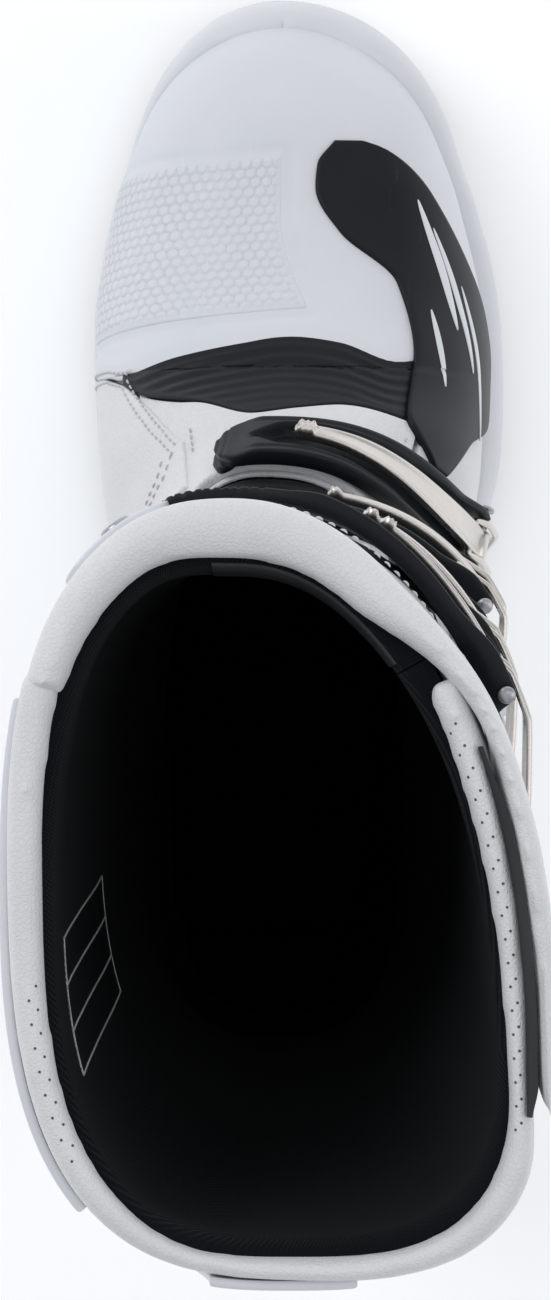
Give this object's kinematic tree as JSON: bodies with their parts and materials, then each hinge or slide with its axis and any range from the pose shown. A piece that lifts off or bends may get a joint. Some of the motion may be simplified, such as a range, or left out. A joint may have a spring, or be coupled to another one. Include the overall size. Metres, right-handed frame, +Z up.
{
  "type": "off-road motorcycle boot",
  "caption": "Tall white and black off-road riding boot with a hinged ankle, an opening front flap and side buckles with over-centre levers.",
  "frame": {"origin": "middle of the boot's overall box in plan, on the ground under the sole", "axes": "+X to the wearer's outer (right) side, +Y to the toe, +Z up the leg"},
  "size_m": [0.1296, 0.3334, 0.375],
  "materials": {
    "white_shell": "satin injection-moulded white TPU",
    "white_leather": "white synthetic leather with fine grain",
    "black_shell": "satin black moulded plastic",
    "black_rubber": "matt black rubber",
    "black_mesh": "black knitted mesh lining",
    "bright_metal": "brushed nickel-coloured aluminium",
    "steel": "plain steel",
    "board": "pressed fibre board"
  },
  "bodies": {
    "foot": {"outsole": "black_rubber", "midsole": "white_shell", "shank": "steel", "insole_board": "board", "footbed": "black_mesh", "lower_lining": "black_mesh", "lower_upper": "white_leather", "toe_shell": "white_shell", "shift_pad": "white_shell", "toe_side_panel": "black_shell", "flex_panel": "black_shell", "instep_tongue": "white_leather", "quarter_panel_medial": "white_leather", "quarter_panel_lateral": "white_leather", "heel_shell": "white_shell", "pivot_bush_lateral": "black_shell", "pivot_bush_medial": "black_shell", "pivot_screw_lateral": "steel", "pivot_screw_medial": "steel", "front_bellows": "black_rubber", "rear_bellows": "black_rubber", "strap_anchor_1": "steel", "catch_1": "white_shell", "catch_screw_1": "steel"},
    "cuff": {"cuff_lining": "black_mesh", "cuff_upper": "white_leather", "collar_pad_rear": "white_leather", "lateral_calf_plate": "white_shell", "medial_calf_plate": "white_shell", "calf_shell": "white_shell", "burn_guard": "black_rubber", "catch_2": "white_shell", "catch_screw_2": "steel", "catch_3": "white_shell", "catch_screw_3": "steel", "catch_4": "white_shell", "catch_screw_4": "steel"},
    "front_flap": {"flap_liner": "black_mesh", "shin_plate": "white_shell", "collar_pad_front": "white_leather", "shin_frame": "black_shell", "strap_anchor_2": "steel", "strap_anchor_3": "steel", "strap_anchor_4": "steel"},
    "strap_1_body": {"strap_1": "black_shell", "lever_pin_1": "steel"},
    "lever_1_body": {"lever_1": "bright_metal"},
    "link_1_body": {"link_1": "bright_metal"},
    "strap_2_body": {"strap_2": "black_shell", "lever_pin_2": "steel"},
    "lever_2_body": {"lever_2": "bright_metal"},
    "link_2_body": {"link_2": "bright_metal"},
    "strap_3_body": {"strap_3": "black_shell", "lever_pin_3": "steel"},
    "lever_3_body": {"lever_3": "bright_metal"},
    "link_3_body": {"link_3": "bright_metal"},
    "strap_4_body": {"strap_4": "black_shell", "lever_pin_4": "steel"},
    "lever_4_body": {"lever_4": "bright_metal"},
    "link_4_body": {"link_4": "bright_metal"}
  },
  "joints": [
    {"name": "ankle_flex", "type": "hinge", "parent": "foot", "child": "cuff", "pos_m": [0, -0.06604, 0.115], "axis": [-1, 0, 0], "range_deg": [-5, 10], "stiffness_Nm_per_rad": 12, "deforming": ["front_bellows", "rear_bellows"]},
    {"name": "front_flap_hinge", "type": "hinge", "parent": "cuff", "child": "front_flap", "pos_m": [-0.05074, -0.02014, 0.27517], "axis": [-0.081, -0.0462, 0.9956], "range_deg": [0, 30]},
    {"name": "strap_1_swing", "type": "hinge", "parent": "foot", "child": "strap_1_body", "pos_m": [-0.01571, 0.03557, 0.15636], "axis": [-0.0202, -0.4044, 0.9144], "range_deg": [0, 18]},
    {"name": "lever_1_pivot", "type": "hinge", "parent": "strap_1_body", "child": "lever_1_body", "pos_m": [0.05541, 0.01054, 0.09532], "axis": [0.2215, 0.9046, -0.3641], "range_deg": [0, 90]},
    {"name": "link_1_pivot", "type": "hinge", "parent": "lever_1_body", "child": "link_1_body", "pos_m": [0.05327, 0.01282, 0.10456], "axis": [0.2215, 0.9046, -0.3641], "range_deg": [-90, 0]},
    {"name": "strap_2_swing", "type": "hinge", "parent": "front_flap", "child": "strap_2_body", "pos_m": [-0.03065, 0.01251, 0.21841], "axis": [-0.046, -0.0912, 0.9948], "range_deg": [0, 35]},
    {"name": "lever_2_pivot", "type": "hinge", "parent": "strap_2_body", "child": "lever_2_body", "pos_m": [0.05279, -0.00437, 0.21948], "axis": [0.0183, 0.2307, -0.9729], "range_deg": [0, 100]},
    {"name": "link_2_pivot", "type": "hinge", "parent": "lever_2_body", "child": "link_2_body", "pos_m": [0.04606, 0.00472, 0.21966], "axis": [0.0183, 0.2307, -0.9729], "range_deg": [-100, 0]},
    {"name": "strap_3_swing", "type": "hinge", "parent": "front_flap", "child": "strap_3_body", "pos_m": [-0.03397, 0.01028, 0.27269], "axis": [-0.0767, -0.0039, 0.997], "range_deg": [0, 35]},
    {"name": "lever_3_pivot", "type": "hinge", "parent": "strap_3_body", "child": "lever_3_body", "pos_m": [0.053, -0.01812, 0.27371], "axis": [-0.0303, 0.213, -0.9766], "range_deg": [0, 100]},
    {"name": "link_3_pivot", "type": "hinge", "parent": "lever_3_body", "child": "link_3_body", "pos_m": [0.04816, -0.00921, 0.2738], "axis": [-0.0303, 0.213, -0.9766], "range_deg": [-100, 0]},
    {"name": "strap_4_swing", "type": "hinge", "parent": "front_flap", "child": "strap_4_body", "pos_m": [-0.03742, 0.01142, 0.32342], "axis": [-0.0535, 0.0519, 0.9972], "range_deg": [0, 35]},
    {"name": "lever_4_pivot", "type": "hinge", "parent": "strap_4_body", "child": "lever_4_body", "pos_m": [0.05424, -0.02734, 0.32444], "axis": [-0.0083, 0.1246, -0.9922], "range_deg": [0, 100]},
    {"name": "link_4_pivot", "type": "hinge", "parent": "lever_4_body", "child": "link_4_body", "pos_m": [0.05018, -0.01854, 0.32447], "axis": [-0.0083, 0.1246, -0.9922], "range_deg": [-100, 0]}
  ],
  "couplings": [
    {"joint": "link_1_pivot", "follows": "lever_1_pivot", "ratio": -1},
    {"joint": "link_2_pivot", "follows": "lever_2_pivot", "ratio": -1},
    {"joint": "link_3_pivot", "follows": "lever_3_pivot", "ratio": -1},
    {"joint": "link_4_pivot", "follows": "lever_4_pivot", "ratio": -1}
  ]
}
